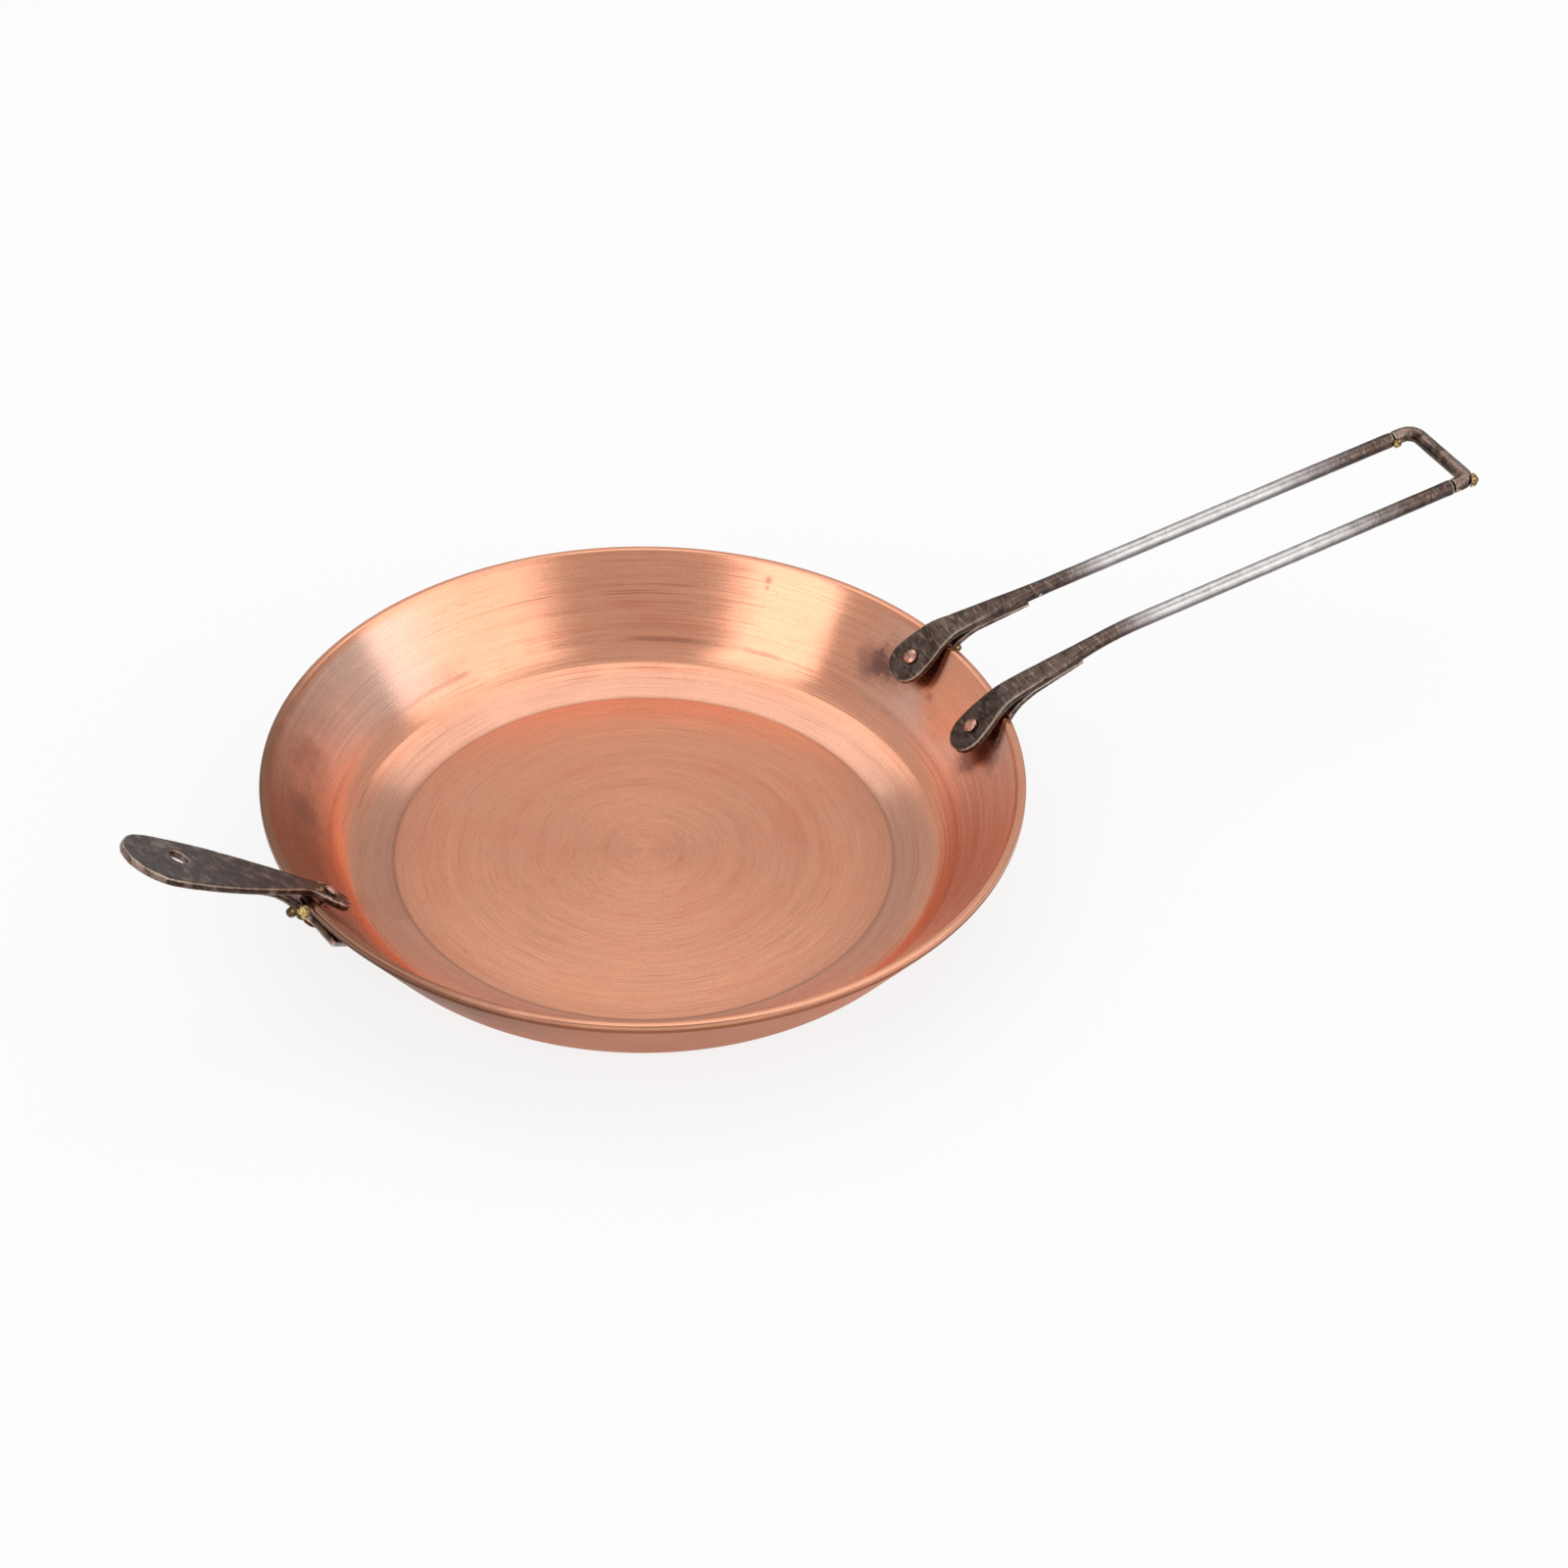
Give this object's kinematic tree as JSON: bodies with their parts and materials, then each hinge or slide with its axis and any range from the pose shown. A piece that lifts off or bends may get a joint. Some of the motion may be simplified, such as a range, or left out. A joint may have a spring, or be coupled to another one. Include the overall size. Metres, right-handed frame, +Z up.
{
  "type": "frying pan",
  "caption": "Small spun copper frying pan with a flat floor, flared wall, long iron rod loop handle and a riveted iron helper tab with a hanging hole.",
  "frame": {"origin": "centre of the pan's flat underside, on the surface it stands on", "axes": "+X from the pan's centre towards the end of the long handle, +Z up, +Y to the right of a cook who holds the long handle and looks at the pan"},
  "size_m": [0.292, 0.148, 0.0481],
  "materials": {
    "copper": "satin turned copper with fine spiral brush marks, bare inside and out",
    "forged_iron": "dark forged iron with hammer marks and worn edges",
    "brass": "melted brass drops"
  },
  "bodies": {
    "root": {"braze_end_left": "brass", "braze_end_right": "brass", "braze_helper": "brass", "braze_strap_left": "brass", "braze_strap_right": "brass", "handle_end_bow": "forged_iron", "handle_rod_left": "forged_iron", "handle_rod_right": "forged_iron", "helper_outer_strap": "forged_iron", "helper_tab": "forged_iron", "outer_strap_left": "forged_iron", "outer_strap_right": "forged_iron", "pan_body": "copper", "rivet_helper": "copper", "rivet_left": "copper", "rivet_right": "copper"}
  },
  "joints": []
}
